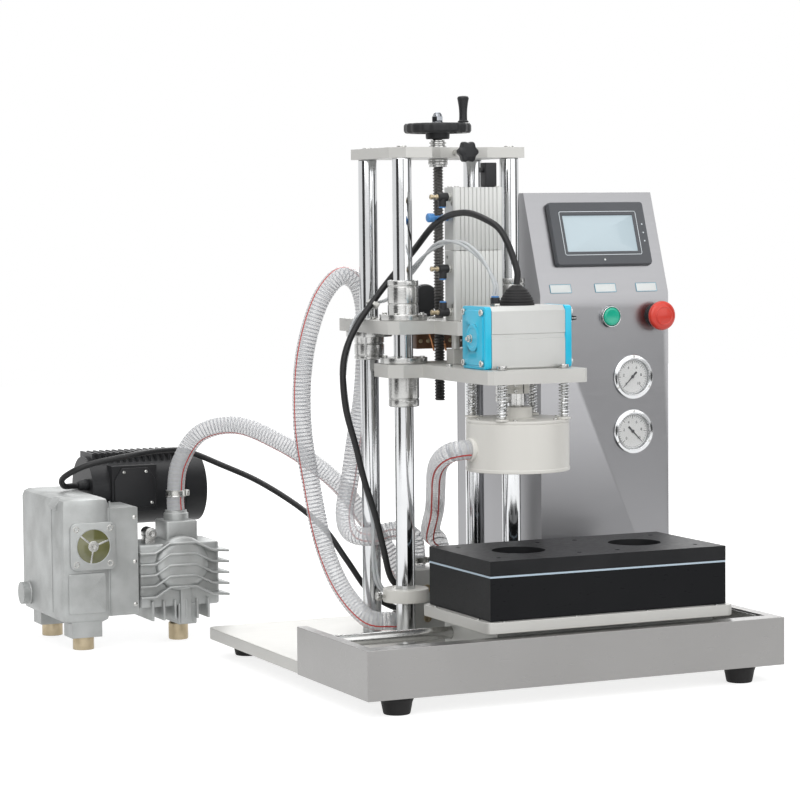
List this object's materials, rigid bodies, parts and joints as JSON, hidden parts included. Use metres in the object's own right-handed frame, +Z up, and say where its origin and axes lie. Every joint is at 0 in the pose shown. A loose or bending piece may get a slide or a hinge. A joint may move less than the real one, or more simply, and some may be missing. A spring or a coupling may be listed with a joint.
{
  "type": "capping machine",
  "caption": "Benchtop vacuum capping machine: column frame with handwheel lift, air-driven capping head and vacuum bell, sliding jar fixture, touch-screen cabinet and a separate vacuum pump.",
  "frame": {"origin": "bottom centre of the whole machine's box, without its hoses and cables, on the surface that the machine and the pump stand on", "axes": "+X to the right and +Y to the back as seen by the operator, +Z up"},
  "size_m": [0.762, 0.85, 0.7543],
  "materials": {
    "white_plate": "satin off-white anodised plate",
    "stainless": "brushed stainless sheet",
    "chrome": "polished hardened shaft and turned steel",
    "rubber": "matt black rubber",
    "black_plastic": "matt black plastic",
    "black_nylon": "black moulded nylon",
    "anodised": "satin anodised aluminium",
    "cyan_cap": "gloss cyan",
    "white_nylon": "ivory white machined plastic",
    "seal": "pale blue sheet",
    "green": "turquoise green button",
    "red": "red mushroom head",
    "cast_metal": "light grey casting",
    "screw_steel": "dark oiled steel thread",
    "hose": "clear hose with a grey wire spiral",
    "dial": "chrome bezel and white dial"
  },
  "bodies": {
    "frame": {"base_plate": "white_plate", "front_tray": "stainless", "foot_front_left": "rubber", "foot_front_right": "rubber", "foot_rear_left": "rubber", "foot_rear_right": "rubber", "column_front_left": "chrome", "column_front_right": "chrome", "column_rear_left": "chrome", "column_rear_right": "chrome", "top_plate": "white_plate", "screw_bearing": "chrome", "cabinet_shell": "stainless", "cabinet_rear_panel": "stainless", "touch_screen": "black_plastic", "gauge_upper": "dial", "gauge_lower": "dial", "table_rails": "chrome", "vacuum_manifold": "anodised", "pump_oil_box": "cast_metal", "pump_sight_glass": "cast_metal", "pump_cylinder": "cast_metal", "pump_motor": "cast_metal", "pump_fan_cover": "black_plastic", "pump_hose": "hose", "loop_hose": "hose", "chamber_hose": "hose", "pump_cable": "rubber", "actuator_cable": "rubber", "air_tubes": "hose"},
    "screw": {"lead_screw": "screw_steel", "handwheel": "black_nylon"},
    "grip": {"handwheel_grip": "black_nylon"},
    "locking_knob": {"star_knob": "black_nylon"},
    "table": {"table_plate": "white_plate", "table_carriage": "anodised", "fixture_lower": "black_plastic", "fixture_seal": "seal", "fixture_top": "black_plastic"},
    "lift": {"lift_plate": "white_plate", "lift_bearing_front_left": "chrome", "lift_bearing_front_right": "chrome", "lift_bearing_rear_left": "chrome", "lift_bearing_rear_right": "chrome", "air_cylinder": "anodised"},
    "head": {"head_plate": "white_plate", "head_bearing_left": "chrome", "head_bearing_right": "chrome", "cylinder_rods": "anodised", "actuator_body": "anodised", "actuator_cap_left": "cyan_cap", "actuator_cap_right": "cyan_cap"},
    "chamber": {"vacuum_bell": "white_nylon"},
    "spindle": {"spindle_and_chuck": "chrome"},
    "start": {"start_button": "green"},
    "stop": {"emergency_stop": "red"},
    "selector": {"selector_knob": "black_plastic"},
    "needle_upper": {"gauge_needle_upper": "black_plastic"},
    "needle_lower": {"gauge_needle_lower": "black_plastic"},
    "fan": {"pump_fan": "black_plastic"}
  },
  "joints": [
    {"name": "table_slide", "type": "slide", "parent": "frame", "child": "table", "axis": [-1, 0, 0], "range_m": [0, 0.167]},
    {"name": "screw_turn", "type": "hinge", "parent": "frame", "child": "screw", "pos_m": [0.061, -0.0822, 0.7], "axis": [0, 0, 1], "range_deg": [-545, 2705]},
    {"name": "grip_spin", "type": "hinge", "parent": "screw", "child": "grip", "pos_m": [0.09194, -0.0963, 0.735], "axis": [0, 0, 1], "continuous": true},
    {"name": "locking_knob_turn", "type": "hinge", "parent": "frame", "child": "locking_knob", "pos_m": [0.061, -0.16, 0.6786], "axis": [0, 1, 0], "range_deg": [0, 270]},
    {"name": "lift_slide", "type": "slide", "parent": "frame", "child": "lift", "axis": [0, 0, 1], "range_m": [-0.03, 0.006], "deforming": ["chamber_hose", "actuator_cable", "air_tubes"]},
    {"name": "head_slide", "type": "slide", "parent": "lift", "child": "head", "axis": [0, 0, -1], "range_m": [0, 0.07]},
    {"name": "chamber_float", "type": "slide", "parent": "head", "child": "chamber", "axis": [0, 0, 1], "range_m": [0, 0.015], "stiffness_N_per_m": 4000, "springref_m": -0.002},
    {"name": "spindle_turn", "type": "hinge", "parent": "head", "child": "spindle", "pos_m": [0.061, -0.3094, 0.39], "axis": [0, 0, 1], "range_deg": [0, 180]},
    {"name": "start_press", "type": "slide", "parent": "frame", "child": "start", "axis": [0, 1, 0], "range_m": [0, 0.003], "stiffness_N_per_m": 500},
    {"name": "stop_press", "type": "slide", "parent": "frame", "child": "stop", "axis": [0, 1, 0], "range_m": [0, 0.005], "stiffness_N_per_m": 800},
    {"name": "selector_turn", "type": "hinge", "parent": "frame", "child": "selector", "pos_m": [0.219, -0.1345, 0.459], "axis": [0, 1, 0], "range_deg": [0, 90]},
    {"name": "needle_upper_turn", "type": "hinge", "parent": "frame", "child": "needle_upper", "pos_m": [0.3255, -0.1345, 0.3765], "axis": [0, 1, 0], "range_deg": [0, 270], "stiffness_Nm_per_rad": 0.002},
    {"name": "needle_lower_turn", "type": "hinge", "parent": "frame", "child": "needle_lower", "pos_m": [0.3255, -0.1345, 0.3025], "axis": [0, -1, 0], "range_deg": [0, 270], "stiffness_Nm_per_rad": 0.002},
    {"name": "pump_fan_spin", "type": "hinge", "parent": "frame", "child": "fan", "pos_m": [-0.152, 0.373, 0.207], "axis": [1, 0, 0], "continuous": true}
  ],
  "couplings": [
    {"joint": "screw_turn", "follows": "lift_slide", "rad_per_m": -1570.8}
  ]
}
